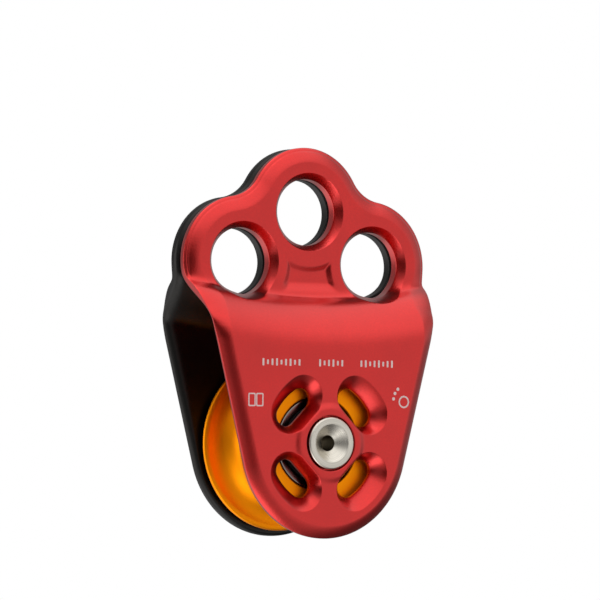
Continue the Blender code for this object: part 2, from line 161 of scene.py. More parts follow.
# %% Place the camera
VIEW_TURN = math.radians(31)
DISTANCE = 0.850  # metres from the axle
LENS = 214.2
AIM_ABOVE_AXLE, AIM_TO_RIGHT = 34.05, 0.26
LEAN = math.radians(0.38)

axle = Vector((0.0, 0.0, AXLE_Z * MM))
screen_right = Vector((math.cos(VIEW_TURN), -math.sin(VIEW_TURN), 0.0))
eye = axle - DISTANCE * Vector((math.sin(VIEW_TURN), math.cos(VIEW_TURN), 0.0))
aim = axle + Vector((0.0, 0.0, AIM_ABOVE_AXLE * MM)) + AIM_TO_RIGHT * MM * screen_right
camera = bpy.data.objects.new("camera", bpy.data.cameras.new("camera"))
bpy.context.scene.collection.objects.link(camera)
camera.data.lens = LENS
camera.data.clip_start, camera.data.clip_end = 0.05, 20.0
turn = (aim - eye).to_track_quat("-Z", "Y").to_matrix() @ Matrix.Rotation(LEAN, 3, "Z")
camera.matrix_world = Matrix.Translation(eye) @ turn.to_4x4()
bpy.context.scene.camera = camera
tilt = math.degrees((aim - eye).angle(axle - eye))
print(f"camera {DISTANCE / MM:.0f} mm from the axle, tilted {tilt:.2f} degrees")

# %% [markdown]
# ## Nodes and colours
#
# Colours are picked as sRGB hex values. Shaders work in linear light, so one function converts.
# One helper adds a node with its settings and links, which keeps each material short.

# %% Colour and node helpers
def linear(code):
    """An sRGB hex colour as linear RGBA."""
    parts = np.array([int(code[k : k + 2], 16) for k in (1, 3, 5)]) / 255
    low, high = parts / 12.92, ((parts + 0.055) / 1.055) ** 2.4
    return (*np.where(parts <= 0.04045, low, high).tolist(), 1.0)


def add(tree, kind, links=(), **settings):
    """A new node. Settings named after a property set it, and links give values or sockets."""
    made = tree.nodes.new(kind)
    for key, value in settings.items():
        setattr(made, key, value)
    for key, value in dict(links).items():
        if isinstance(value, bpy.types.NodeSocket):
            tree.links.new(value, made.inputs[key])
        else:
            made.inputs[key].default_value = value
    return made


def new_finish(name, **shader_values):
    """A material with its node tree and shader, and constant values set on the shader."""
    made = bpy.data.materials.new(name)
    made.use_nodes = True
    shader = made.node_tree.nodes["Principled BSDF"]
    for key, value in shader_values.items():
        shader.inputs[key.replace("_", " ")].default_value = value
    return made, made.node_tree, shader


def grain(tree, size_mm, detail=2.0, vector=None):
    """Noise whose lumps are about size_mm across, on the object's own coordinates."""
    if vector is None:
        vector = add(tree, "ShaderNodeTexCoord").outputs["Object"]
    return add(
        tree,
        "ShaderNodeTexNoise",
        {"Vector": vector, "Scale": 1 / (size_mm * MM), "Detail": detail, "Roughness": 0.55},
    ).outputs["Fac"]


def ramp(tree, value, low, high):
    """A value from 0 to 1 stretched to run from low to high."""
    links = {"Value": value, "To Min": low, "To Max": high}
    return add(tree, "ShaderNodeMapRange", links).outputs["Result"]


def two_tone(tree, shader, share, light, deep):
    """Base colour that mixes from deep to light as the share goes from 0 to 1."""
    mixed = add(
        tree,
        "ShaderNodeMix",
        {"Factor": share, "A": linear(deep), "B": linear(light)},
        data_type="RGBA",
    )
    tree.links.new(mixed.outputs["Result"], shader.inputs["Base Color"])


def uneven(tree, shader, share, smoothest, roughest):
    """Roughness that runs from smoothest to roughest as the share goes from 0 to 1."""
    tree.links.new(ramp(tree, share, smoothest, roughest), shader.inputs["Roughness"])


def bumped(tree, shader, height, depth_mm, coat=False):
    """Turns a height from 0 to 1 into a relief of a real depth on the shader's normal."""
    links = {"Height": height, "Distance": depth_mm * MM, "Strength": 1.0}
    relief = add(tree, "ShaderNodeBump", links).outputs["Normal"]
    tree.links.new(relief, shader.inputs["Normal"])
    if coat:
        tree.links.new(relief, shader.inputs["Coat Normal"])

# %% [markdown]
# ## The finishes
#
# The cheeks are hot-forged aluminium, tumbled, bead blasted and then anodised. The blasting leaves
# a fine even grain that spreads each highlight, and the dyed oxide is a clear coloured skin over
# bright metal: strong colour where it mirrors something, a thin white shine on top.

# %% Anodised aluminium
OXIDE_GRAIN_MM = 0.45  # a real blasted grain is 0.05 mm, drawn coarser so that it shows
BLAST_DEPTH_MM = 0.018
DYE_CLOUD_MM, DYE_CONTRAST = 9.0, 2.2
SKIN_SPREAD = 0.04  # how far the roughness strays either way


def anodised(name, light, deep, roughness, coat, coat_roughness):
    """Blasted, dyed and sealed aluminium, under a thin clear skin. The dye's share is its cloud
    times the fine grain, stretched by the contrast."""
    made, tree, shader = new_finish(
        name, Metallic=1.0, Coat_Weight=coat, Coat_Roughness=coat_roughness, Coat_IOR=1.6
    )
    cloud, speck = grain(tree, DYE_CLOUD_MM, 3.0), grain(tree, OXIDE_GRAIN_MM)
    both = add(tree, "ShaderNodeMath", {0: cloud, 1: speck}, operation="MULTIPLY").outputs[0]
    two_tone(tree, shader, ramp(tree, both, 0.0, DYE_CONTRAST), light, deep)
    uneven(tree, shader, cloud, roughness - SKIN_SPREAD, roughness + SKIN_SPREAD)
    bumped(tree, shader, speck, BLAST_DEPTH_MM, coat=True)
    return made


red_cheek = anodised(
    "red_anodised_bead_blasted_aluminium", "#D5120C", "#BF0D08", 0.3, 0.72, 0.25
)
black_cheek = anodised(
    "black_anodised_bead_blasted_aluminium", "#211F1D", "#181614", 0.42, 0.26, 0.35
)
print("cheek finishes:", red_cheek.name, black_cheek.name)

# %% [markdown]
# The sheave is turned from bar and anodised orange. The lathe leaves rings round the axle, so the
# height follows the distance from the axle's line. The axle is turned stainless steel, not dyed,
# with the same rings and a whiter colour, and its highlights stretch across the rings.

# %% Turned metal
STAIN_MM = 5.0  # size of the faint patches left by coolant and handling
STAIN_SMOOTHER, STAIN_ROUGHER = 0.04, 0.06


def from_axle(tree):
    """The place on the object, measured from the axle's middle."""
    place = add(tree, "ShaderNodeTexCoord").outputs["Object"]
    middle = (0.0, 0.0, AXLE_Z * MM)
    moved = add(tree, "ShaderNodeVectorMath", {0: place, 1: middle}, operation="SUBTRACT")
    return moved.outputs["Vector"]


def lathe_rings(tree, pitch_mm):
    """Noise over the distance from the axle and the way along it, the same all the way round."""
    place = from_axle(tree)
    flat = add(tree, "ShaderNodeVectorMath", {0: place, 1: (1.0, 0.0, 1.0)}, operation="MULTIPLY")
    out = add(tree, "ShaderNodeVectorMath", {0: flat.outputs["Vector"]}, operation="LENGTH")
    along = add(tree, "ShaderNodeSeparateXYZ", {0: place}).outputs["Y"]
    line = add(tree, "ShaderNodeCombineXYZ", {"X": out.outputs["Value"], "Y": along})
    return grain(tree, pitch_mm, 3.0, line.outputs["Vector"])


def turned_metal(name, light, deep, roughness, pitch_mm, depth_mm, streak=0.0, metallic=1.0):
    """Metal with lathe rings in its height and faintly in its colour. The streak stretches a
    highlight across the rings: its tangent is the place from the axle crossed with the axle's
    direction, which runs round the axle."""
    made, tree, shader = new_finish(name, Metallic=metallic, Anisotropic=streak)
    if streak:
        links = {0: from_axle(tree), 1: (0.0, 1.0, 0.0)}
        round_way = add(tree, "ShaderNodeVectorMath", links, operation="CROSS_PRODUCT")
        tree.links.new(round_way.outputs["Vector"], shader.inputs["Tangent"])
    marks = lathe_rings(tree, pitch_mm)
    stain = grain(tree, STAIN_MM)
    two_tone(tree, shader, marks, light, deep)
    uneven(tree, shader, stain, roughness - STAIN_SMOOTHER, roughness + STAIN_ROUGHER)
    bumped(tree, shader, marks, depth_mm)
    return made


orange_sheave = turned_metal(
    "orange_anodised_turned_aluminium", "#FF9C00", "#FF9000", 0.43, 0.5, 0.004, metallic=0.92
)
stainless = turned_metal("turned_stainless_steel", "#E8E3D8", "#B0AA9E", 0.27, 0.3, 0.02, 0.75)
bearing_steel = turned_metal("ground_bearing_steel", "#8E8B87", "#76736F", 0.18, 0.25, 0.002)
print("turned finishes:", orange_sheave.name, stainless.name, bearing_steel.name)

# %% [markdown]
# Inside are three plain engineering plastics. Moulded nylon has a faint flow texture, nitrile
# rubber is matt with a fine pimpled skin, and the acetal washers are cut from smooth sheet.
# The etched marks are bare metal roughened by a laser, so they are pale and quite matt.

# %% Plastics, rubber and the laser's mark
FLOW_MM = 4.0
FLOW_SPREAD = 0.06


def plain_moulding(name, light, deep, roughness, grain_mm, depth_mm, metallic=0.0):
    """A solid colour that varies a little with the flow, over a fine relief."""
    made, tree, shader = new_finish(name, Metallic=metallic)
    skin = grain(tree, grain_mm, 3.0)
    two_tone(tree, shader, grain(tree, FLOW_MM), light, deep)
    uneven(tree, shader, skin, roughness - FLOW_SPREAD, roughness + FLOW_SPREAD)
    bumped(tree, shader, skin, depth_mm)
    return made


nylon = plain_moulding("moulded_nylon", "#2E2B28", "#211F1D", 0.5, 0.4, 0.01)
rubber = plain_moulding("nitrile_rubber", "#191919", "#101010", 0.62, 0.3, 0.02)
acetal = plain_moulding("cut_acetal_sheet", "#34322F", "#292725", 0.38, 0.6, 0.006)
etched = plain_moulding(
    "laser_etched_aluminium", "#DCC6C3", "#CDB3B1", 0.6, 0.2, 0.02, metallic=0.3
)
print("other finishes:", nylon.name, rubber.name, acetal.name, etched.name)

# %% [markdown]
# ## The cheek's outline
#
# Both cheeks have one outline: three lobes round the attachment holes, hollow valleys between
# them, and sides that run straight to a shoulder and then to the round foot. Each part is an arc
# or a line that touches its neighbours, so the curve has no corner. Only the right half is
# worked out, and the left is its mirror image.

# %% Arcs and straight sides that touch
LOBE_RADIUS, VALLEY_RADIUS, SHOULDER_RADIUS = 15.4, 9.5, 12.0
SHOULDER = (18.2, 29.2)  # the middle of the shoulder's arc
SPACING = 0.5  # between the points of a loop
CLOSEST = 0.05  # points nearer than this are one point


def arc(centre, radius, start, end, outward=1.0):
    """Points an even way along an arc, the short way round, and the direction out of the metal."""
    end = start + math.remainder(end - start, 2 * math.pi)
    turns = np.linspace(start, end, max(3, math.ceil(abs(end - start) * radius / SPACING) + 1))
    ways = np.stack([np.cos(turns), np.sin(turns)], axis=1)
    return np.asarray(centre) + radius * ways, ways * outward


def angle_to(start, end):
    """The direction from one point to another, as an angle."""
    return math.atan2(end[1] - start[1], end[0] - start[0])


def valley_centre(first, second):
    """The middle of the hollow arc that touches two equal lobes from outside, on their right."""
    first, second = np.asarray(first), np.asarray(second)
    gap = np.linalg.norm(second - first)
    off = math.sqrt((LOBE_RADIUS + VALLEY_RADIUS) ** 2 - (gap / 2) ** 2)
    way = (second - first) / gap
    return (first + second) / 2 + off * np.array([-way[1], way[0]])


def side_way(first, radius1, second, radius2):
    """The direction out of the straight line that touches two circles on their right."""
    return angle_to(second, first) - math.acos((radius2 - radius1) / math.dist(first, second))


def straight(first, radius1, second, radius2, way):
    """Points along that line, with the ends left to the arcs."""
    out = np.array([math.cos(way), math.sin(way)])
    start, end = np.asarray(first) + radius1 * out, np.asarray(second) + radius2 * out
    share = np.linspace(0.0, 1.0, round(math.dist(start, end) / SPACING) + 1)[1:-1, None]
    points = start + (end - start) * share
    return points, np.broadcast_to(out, points.shape)


def outline():
    """The whole outline, clockwise from the top, as points and outward directions."""
    lobe, foot = (SIDE_HOLE_X, SIDE_HOLE_H), (0.0, 0.0)
    valley = valley_centre(TOP_HOLE, lobe)
    upper = side_way(lobe, LOBE_RADIUS, SHOULDER, SHOULDER_RADIUS)
    lower = side_way(SHOULDER, SHOULDER_RADIUS, foot, FOOT_RADIUS)
    parts = [
        arc(TOP_HOLE, LOBE_RADIUS, math.pi / 2, angle_to(TOP_HOLE, valley)),
        arc(valley, VALLEY_RADIUS, angle_to(valley, TOP_HOLE), angle_to(valley, lobe), -1.0),
        arc(lobe, LOBE_RADIUS, angle_to(lobe, valley), upper),
        straight(lobe, LOBE_RADIUS, SHOULDER, SHOULDER_RADIUS, upper),
        arc(SHOULDER, SHOULDER_RADIUS, upper, lower),
        straight(SHOULDER, SHOULDER_RADIUS, foot, FOOT_RADIUS, lower),
        arc(foot, FOOT_RADIUS, lower, -math.pi / 2),
    ]
    points = np.concatenate([part[0] for part in parts])
    ways = np.concatenate([part[1] for part in parts])
    keep = np.concatenate([[True], np.linalg.norm(np.diff(points, axis=0), axis=1) > CLOSEST])
    points, ways = points[keep], ways[keep]
    mirror = np.array([-1.0, 1.0])
    return (
        np.concatenate([points, points[-2:0:-1] * mirror]),
        np.concatenate([ways, ways[-2:0:-1] * mirror]),
    )


edge, edge_ways = outline()
print(f"outline of {len(edge)} points, {np.ptp(edge[:, 0]):.1f} by {np.ptp(edge[:, 1]):.1f} mm")

# %% [markdown]
# ## The cheek's faces
#
# A forged face is a height over x and h, made of a few eased steps. The large one carries the
# face from the thin top, where the cheeks meet, out over the sheave. It is drawn by its slope: a
# gentle hollow, then a steep crease, then a long round shoulder. The height is the slope's
# running sum.

# %% The large step
UPPER_FACE, LOWER_FACE = 4.8, 14.4  # the outer face, from the middle plane
MEETING_GAP, LOWER_INNER = 0.2, 10.5  # the face towards the sheave
STEP_TOP, STEP_HEIGHT, STEP_LIFT = 38.6, 17.5, 2.9
INNER_TOP, INNER_HEIGHT, INNER_LIFT = 35.9, 11.0, 3.0
LIFT_REACHED_AT = 29.0  # x at which the step's line has its whole lift
CREASE = 4.5  # how far below the step's start
HOLLOW_SLOPE, HOLLOW_GROWTH, HOLLOW_OVERLAP = 0.35, 3.5, 0.3
SHOULDER_SLOPE, SHOULDER_START, SHOULDER_GROWTH = 1.35, 3.6, 1.2
STEEPEST_SLOPE, STEEPEST_BELOW, STEEPEST_REACH = 0.6, 0.4, 1.2


def eased(t):
    """0 before the step, 1 after it, and a smooth S between: t squared times 3 minus 2 t."""
    t = np.clip(t, 0.0, 1.0)
    return t * t * (3 - 2 * t)


def blend(where, start, end, first, last):
    """A value that eases from first to last as where goes from start to end."""
    return first + (last - first) * eased((where - start) / (end - start))


def bump(where, middle, reach):
    """1 at the middle, falling off on both sides: e to the minus distance over reach, squared."""
    return np.exp(-(((where - middle) / reach) ** 2))


def step_line(x, lift):
    """How much higher the step starts at this x: its line sags in the middle of the cheek."""
    return lift * (x / LIFT_REACHED_AT) ** 2


def step_profile():
    """Depths below the step's start, and the share of the step's rise that each has reached."""
    fallen = np.linspace(0.0, STEP_HEIGHT, 300)
    hollow = HOLLOW_SLOPE * np.clip(fallen / HOLLOW_GROWTH, 0.0, 1.0) ** 1.5
    hollow *= eased(CREASE + HOLLOW_OVERLAP - fallen)
    shoulder = SHOULDER_SLOPE * eased((fallen - SHOULDER_START) / SHOULDER_GROWTH)
    shoulder *= 1 - np.maximum(fallen - CREASE, 0.0) / (STEP_HEIGHT - CREASE)
    steepest = STEEPEST_SLOPE * bump(fallen, CREASE + STEEPEST_BELOW, STEEPEST_REACH)
    slope = hollow + shoulder + steepest
    return fallen, np.cumsum(slope) / slope.sum()


FALLEN, STEP_SHARE = step_profile()
halfway = np.interp(0.5, STEP_SHARE, FALLEN)
print(f"the step has half its rise {halfway:.1f} mm below its start")

# %% [markdown]
# A shallow panel is pressed in between the three holes, and a low boss surrounds the axle, cut by
# the four windows. The face towards the sheave has the large step only.

# %% Both faces of a cheek
PANEL_DEPTH, PANEL_TOP_PAD, PANEL_SIDE_PAD = 0.85, 12.6, 11.4
PANEL_HALF_WIDTH, PANEL_LOW, PANEL_HIGH = 10.5, 35.5, 46.0
PAD_FLANK, SIDE_FLANK, LOW_FLANK, HIGH_FLANK = 2.0, 1.5, 3.0, 1.0
BOSS_HEIGHT, BOSS_RADIUS, BOSS_FLAT, BOSS_FLANK = 0.7, 8.8, 8.0, 2.4


def panel(x, h):
    """1 inside the pressed panel: outside the pads round all three holes, near the middle."""
    top = np.hypot(x, h - TOP_HOLE[1]) - PANEL_TOP_PAD
    side = np.hypot(np.abs(x) - SIDE_HOLE_X, h - SIDE_HOLE_H) - PANEL_SIDE_PAD
    near = eased((PANEL_HALF_WIDTH - np.abs(x)) / SIDE_FLANK) * eased((PANEL_HIGH - h) / HIGH_FLANK)
    return eased(np.minimum(top, side) / PAD_FLANK) * near * eased((h - PANEL_LOW) / LOW_FLANK)


def boss(x, h):
    """1 on the boss: inside a circle whose four diagonal sides are cut flat by the windows."""
    flat = (np.abs(x) + np.abs(h)) / math.sqrt(2)
    beyond = np.maximum(np.hypot(x, h) - BOSS_RADIUS, flat - BOSS_FLAT)
    return eased(0.5 - beyond / BOSS_FLANK)


def outer_level(p):
    """The front cheek's outer face, as a distance from the middle plane."""
    x, h = p[..., 0], p[..., 1]
    share = np.interp(STEP_TOP + step_line(x, STEP_LIFT) - h, FALLEN, STEP_SHARE)
    face = UPPER_FACE + (LOWER_FACE - UPPER_FACE) * share
    return face - PANEL_DEPTH * panel(x, h) + BOSS_HEIGHT * boss(x, h)


def inner_level(p):
    """The face towards the sheave, which follows the outer one at the metal's thickness."""
    x, h = p[..., 0], p[..., 1]
    t = (INNER_TOP + step_line(x, INNER_LIFT) - h) / INNER_HEIGHT
    return MEETING_GAP + (LOWER_INNER - MEETING_GAP) * eased(t)


print(f"metal {UPPER_FACE - MEETING_GAP:.1f} mm thick above, {LOWER_FACE - LOWER_INNER:.1f} below")

# %% [markdown]
# ## The cheek's edges and holes
#
# Each edge is a band: the loop of the hole or outline carried over a rounded section, from the
# outer face to the inner face. Its wide soft roll is what a forging die leaves. One function
# makes the outline, the attachment holes and the windows: only the loop and the widths differ.

# %% A band round a loop
ROLL_STEPS, WALL_STEPS, INNER_STEPS = 30, 5, 8
LINE_INSET, LINE_REACH = 0.75, 0.2  # where the trimming die leaves its fine line


def band(loop, ways, power, width, depth, inner_width, inner_depth, line_depth=0.0):
    """Rings from the outer face to the inner one. A ring stands inset by width times
    1 - (sin a)^power and drops by depth times 1 - (cos a)^power, for a up to a quarter turn, and
    a plain wall and a small ellipse follow. Power 1 is an ellipse and power 2 a flat chamfer.
    Ways point from the metal to the air. A width or depth is one value, or one for each point."""
    a = np.linspace(0.0, math.pi / 2, ROLL_STEPS)[:, None]
    inset = np.broadcast_to(width, len(loop)) * (1 - np.sin(a) ** power)
    front = loop[None] - ways[None] * inset[..., None]
    line = line_depth * bump(inset, LINE_INSET, LINE_REACH)
    drop = depth * (1 - np.abs(np.cos(a)) ** power) + line
    outer = np.dstack([front, outer_level(front) - drop])
    b = np.linspace(math.pi / 2, 0.0, INNER_STEPS)[:, None]
    inset = np.broadcast_to(inner_width, len(loop)) * (1 - np.sin(b))
    back = loop[None] - ways[None] * inset[..., None]
    inner = np.dstack([back, inner_level(back) + inner_depth * (1 - np.cos(b))])
    share = np.linspace(0.0, 1.0, WALL_STEPS)[1:-1, None, None]
    return np.concatenate([outer, outer[-1:] + (inner[:1] - outer[-1:]) * share, inner])

# %% [markdown]
# The outline's roll grows towards the top and is widest at the corner beside the step. Nowhere is
# it deeper than its share of the metal, so the two rolls never meet. A fine line runs along the
# upper part.

# %% The outline's band
OUTLINE_POWER = 1.6
ROLL_DEPTH, ROLL_SHARE = 1.9, 0.5
THROAT_DEPTH, THROAT_SHARE = 1.6, 0.4
ROLL_WIDTH = (20.0, 35.0, 3.0, 3.6)  # from height to height, from width to width
THROAT_BELOW = (-10.0, 20.0, 1.0, 2.8)
THROAT_ABOVE = (27.0, 37.0, 2.8, 1.9)
CORNER, CORNER_REACH, CORNER_WIDTH = 33.0, 4.0, 1.6
LINE_FROM, LINE_GROWTH, LINE_DEPTH = 36.0, 4.0, 0.12


def outline_band():
    """The outline's band: an outer roll, and a rounded edge towards the rope's throat."""
    h = edge[:, 1]
    metal = outer_level(edge) - inner_level(edge)
    return band(
        edge, edge_ways, OUTLINE_POWER,
        blend(h, *ROLL_WIDTH) + CORNER_WIDTH * bump(h, CORNER, CORNER_REACH),
        np.minimum(ROLL_DEPTH, ROLL_SHARE * metal),
        np.minimum(blend(h, *THROAT_BELOW), blend(h, *THROAT_ABOVE)),
        np.minimum(THROAT_DEPTH, THROAT_SHARE * metal),
        LINE_DEPTH * eased((h - LINE_FROM) / LINE_GROWTH),
    )


bands = [outline_band()]
print("the outline's band:", bands[0].shape[0], "rings of", bands[0].shape[1], "points")

# %% [markdown]
# The attachment holes have a countersunk, rounded rim, so that no connector meets a sharp edge.
# The windows are kidney shaped, with a straight side towards the axle and a roll that is widest
# on the far side. The axle's hole is machined, so it is crisp: a counterbore for the head, a flat
# seat and a smaller hole.

# %% The bands of the holes
BORE_RADIUS, BORE_POWER = 7.9, 1.85
BORE_RIM, BORE_RIM_DEPTH, BORE_BACK = 1.45, 1.95, 0.45
WINDOW_OUT, WINDOW_ALONG, WINDOW_END_RADIUS, WINDOW_POWER = 11.8, 2.7, 2.6, 1.8
WINDOW_NEAR_RIM, WINDOW_FAR_RIM, WINDOW_RIM_DEPTH, WINDOW_BACK = 1.5, 3.4, 2.8, 0.35
AXLE_HOLE_POINTS = 96
AXLE_HOLE = (
    # radius, and depth under the boss
    (6.95, 0.0), (6.75, 0.02), (6.57, 0.09), (6.48, 0.22), (6.45, 0.4), (6.45, 1.2), (6.45, 2.35),
    (6.4, 2.45), (5.35, 2.45), (5.3, 2.5), (5.3, 3.4), (5.3, 4.0), (5.35, 4.35),
)


def circle(centre, radius, spacing=SPACING):
    """A circle of points, and the directions towards its middle, where the air is."""
    count = round(2 * math.pi * radius / spacing / 4) * 4
    turns = np.arange(count) * 2 * math.pi / count
    ways = np.stack([np.cos(turns), np.sin(turns)], axis=1)
    return np.asarray(centre) + radius * ways, -ways


def bore_band(centre):
    """An attachment hole's band."""
    loop, ways = circle(centre, BORE_RADIUS)
    return band(loop, ways, BORE_POWER, BORE_RIM, BORE_RIM_DEPTH, BORE_BACK, BORE_BACK)


def straight_side(x, start, end):
    """Points along a window's straight side, whose metal lies towards the axle."""
    share = np.linspace(0.0, 1.0, round(abs(end - start) / SPACING) + 1)
    points = np.column_stack([np.full(len(share), x), start + (end - start) * share])
    return points, np.broadcast_to([-1.0, 0.0], points.shape)


def window_band(turn):
    """A window's band. It is laid out on the right of the axle and then turned into its place."""
    out, along, end_radius = WINDOW_OUT, WINDOW_ALONG, WINDOW_END_RADIUS
    lean = math.atan2(along, out)
    pieces = [
        arc((0.0, 0.0), math.hypot(out, along) + end_radius, -lean, lean),
        arc((out, along), end_radius, lean, math.pi),
        straight_side(out - end_radius, along, -along),
        arc((out, -along), end_radius, -math.pi, -lean),
    ]
    loop = np.concatenate([piece[0][:-1] for piece in pieces])
    ways = -np.concatenate([piece[1][:-1] for piece in pieces])
    width = WINDOW_NEAR_RIM + (WINDOW_FAR_RIM - WINDOW_NEAR_RIM) * (1 - ways[:, 0]) / 2
    spin = np.array([[math.cos(turn), math.sin(turn)], [-math.sin(turn), math.cos(turn)]])
    return band(
        loop @ spin, ways @ spin, WINDOW_POWER, width, WINDOW_RIM_DEPTH, WINDOW_BACK, WINDOW_BACK
    )


def axle_band():
    """The axle's hole, ring by ring. The last ring lies on the inner face."""
    found = []
    for radius, down in AXLE_HOLE:
        loop, _ = circle((0.0, 0.0), radius, 2 * math.pi * radius / AXLE_HOLE_POINTS)
        level = np.full(len(loop), LOWER_FACE + BOSS_HEIGHT - down)
        found.append(np.column_stack([loop, level]))
    found[-1][:, 2] = LOWER_INNER
    return np.stack(found)


bands += [bore_band(centre) for centre in
          (TOP_HOLE, (-SIDE_HOLE_X, SIDE_HOLE_H), (SIDE_HOLE_X, SIDE_HOLE_H))]
bands += [window_band(math.radians(turn)) for turn in (45, 135, 225, 315)]
bands.append(axle_band())
print("bands of", len(bands) - 1, "holes")

# %% [markdown]
# ## Filling the faces
#
# Between the bands the face is a sheet with holes. A grid of staggered rows is laid over it, finer
# where the relief is fine, and a triangulation joins it to the loops. Every point's height comes
# from the same function as the bands, so they meet exactly.

# %% Points over a face, and the triangles between them
TOUCHING = 1e-7  # in mm: points this near are taken as one


def inside(points, polygon):
    """Whether each point lies in the polygon: the edges it crosses on its right are counted."""
    x, h = points[:, 0][:, None], points[:, 1][:, None]
    x1, h1 = polygon.T
    x2, h2 = np.roll(polygon, -1, axis=0).T
    crosses = (h1 > h) != (h2 > h)
    where = x1 + (h - h1) * (x2 - x1) / np.where(h2 == h1, 1.0, h2 - h1)
    return (crosses & (x < where)).sum(axis=1) % 2 == 1


def staggered_grid(low, high, spacing):
    """An even grid of points in a rectangle, each second row moved along by half a step."""
    h = np.arange(low[1], high[1], spacing * math.sqrt(3) / 2)
    x = np.arange(low[0], high[0], spacing)
    shift = (np.arange(len(h)) % 2 * spacing / 2)[:, None]
    grid = np.stack(np.broadcast_arrays(x[None, :] + shift, h[:, None]), axis=-1)
    return grid.reshape(-1, 2)


def face_points(loops, patches, clear):
    """Grid points from the patches, coarse first, that stand clear of the loops and each other."""
    found = np.empty((0, 2))
    for low, high, spacing in patches:
        found = found[~((found > low) & (found < high)).all(axis=1)]
        found = np.concatenate([found, staggered_grid(np.array(low), np.array(high), spacing)])
    held = inside(found, loops[0])
    for hole in loops[1:]:
        held &= ~inside(found, hole)
    found = found[held]
    for loop in loops:
        away = found[:, None] - loop[None]
        found = found[np.hypot(away[..., 0], away[..., 1]).min(axis=1) > clear]
    return found


def fill(loops, patches, level, clear):
    """Heighted grid points, and triangles that index the loops' points and then the grid's."""
    extra = face_points(loops, patches, clear)
    flat = np.concatenate([*loops, extra])
    starts = np.cumsum([0] + [len(loop) for loop in loops])
    edges = [
        (start + k, start + (k + 1) % (end - start))
        for start, end in zip(starts[:-1], starts[1:])
        for k in range(end - start)
    ]
    _, _, faces, origins, _, _ = delaunay_2d_cdt(flat.tolist(), edges, [], 1, TOUCHING)
    first = np.array([own[0] for own in origins])
    faces = first[np.array(faces)]
    centres = flat[faces].mean(axis=1)
    keep = np.ones(len(faces), bool)
    for hole in loops[1:]:
        keep &= ~inside(centres, hole)
    return np.column_stack([extra, level(extra)]), faces[keep]


# %% [markdown]
# A cheek is its bands and its two filled faces. The outer face has finer patches over the crease,
# in the panel and on the boss. The rear cheek is the front one's mirror image.

# %% Build both cheeks
OUTER_CLEAR, INNER_CLEAR = 0.22, 0.4  # how far the grid stays from the loops
OUTER_PATCHES = [
    # lowest corner, highest corner, spacing
    ((-34, -24), (34, 72), 0.6),
    ((-34, 24), (34, 40), 0.45),
    ((-10, 33), (10, 46), 0.3),
    ((-10.5, -10.5), (10.5, 10.5), 0.28),
]
INNER_PATCHES = [((-34, -24), (34, 72), 1.1)]


def cheek_shape():
    """All points as (x, h, level) and the blocks of faces, for one cheek."""
    blocks, outer, inner, total = [], [], [], 0
    for rows in bands:
        blocks.append(grid_faces(rows.shape[0], rows.shape[1], start=total))
        outer.append(total + np.arange(rows.shape[1]))
        total += rows.shape[0] * rows.shape[1]
        inner.append(total - rows.shape[1] + np.arange(rows.shape[1]))
    points = [rows.reshape(-1, 3) for rows in bands]
    sides = (
        (outer, [rows[0, :, :2] for rows in bands], OUTER_PATCHES, outer_level, OUTER_CLEAR),
        (inner, [rows[-1, :, :2] for rows in bands], INNER_PATCHES, inner_level, INNER_CLEAR),
    )
    for own, loops, patches, level, clear in sides:
        more, triangles = fill(loops, patches, level, clear)
        own = np.concatenate([*own, total + np.arange(len(more))])
        blocks.append(own[triangles])
        points.append(more)
        total += len(more)
    return np.concatenate(points), blocks


cheek_points, cheek_faces = cheek_shape()
for name, side, finish in (("front_cheek", -1.0, red_cheek), ("rear_cheek", 1.0, black_cheek)):
    x, h, level = cheek_points.T
    placed = np.column_stack([x, side * level, h + AXLE_Z])
    piece = make_object(f"{name}_forging", placed, cheek_faces, finish)
    dress(piece, name, f"{name}_body")

# %% [markdown]
# ## Turned pieces
#
# The sheave, the axle, the races, the seals and the rings are all round: a closed profile of
# radius and place along the axle, carried round it. No corner on them is dead sharp, so each is
# a short curve, with a close point on either side so that the flats next to it shade flat.

# %% Round the corners and turn a profile
TURN_SEGMENTS = 160
MOST_REACH, HOLD = 0.4, 0.2  # shares of a side and of the reach


def softened(corners, radius, closed=True, steps=5):
    """A polyline whose corners become curves. Between points S and E on the two sides of a corner
    C, the curve is (1 - t)^2 S + 2 t (1 - t) C + t^2 E. A point before it and one after hold the
    sides flat. An open polyline keeps its two ends."""
    p = np.asarray(corners, float)
    back, ahead = np.roll(p, 1, axis=0) - p, np.roll(p, -1, axis=0) - p
    back_length = np.linalg.norm(back, axis=1, keepdims=True)
    ahead_length = np.linalg.norm(ahead, axis=1, keepdims=True)
    reach = np.minimum(radius, MOST_REACH * np.minimum(back_length, ahead_length))
    start, end = p + back / back_length * reach, p + ahead / ahead_length * reach
    before = start + back / back_length * reach * HOLD
    after = end + ahead / ahead_length * reach * HOLD
    t = np.linspace(0.0, 1.0, steps)[None, :, None]
    curve = (1 - t) ** 2 * start[:, None] + 2 * t * (1 - t) * p[:, None] + t**2 * end[:, None]
    rows = np.concatenate([before[:, None], curve, after[:, None]], axis=1)
    if closed:
        return rows.reshape(-1, 2)
    return np.concatenate([p[:1], rows[1:-1].reshape(-1, 2), p[-1:]])


def turned(name, profile, material, centre_y=0.0, segments=TURN_SEGMENTS):
    """A closed profile of (radius, y) carried round the axle: x = r cos a, z = r sin a."""
    profile = np.asarray(profile, float)
    a = np.arange(segments) * 2 * np.pi / segments
    radius, y = profile[:, 0][:, None], profile[:, 1][:, None] + centre_y
    places = (radius * np.cos(a), y, AXLE_Z + radius * np.sin(a))
    points = np.stack(np.broadcast_arrays(*places), axis=-1).reshape(-1, 3)
    faces = grid_faces(len(profile), segments, wrap_rows=True)
    return make_object(name, points, [faces], material)


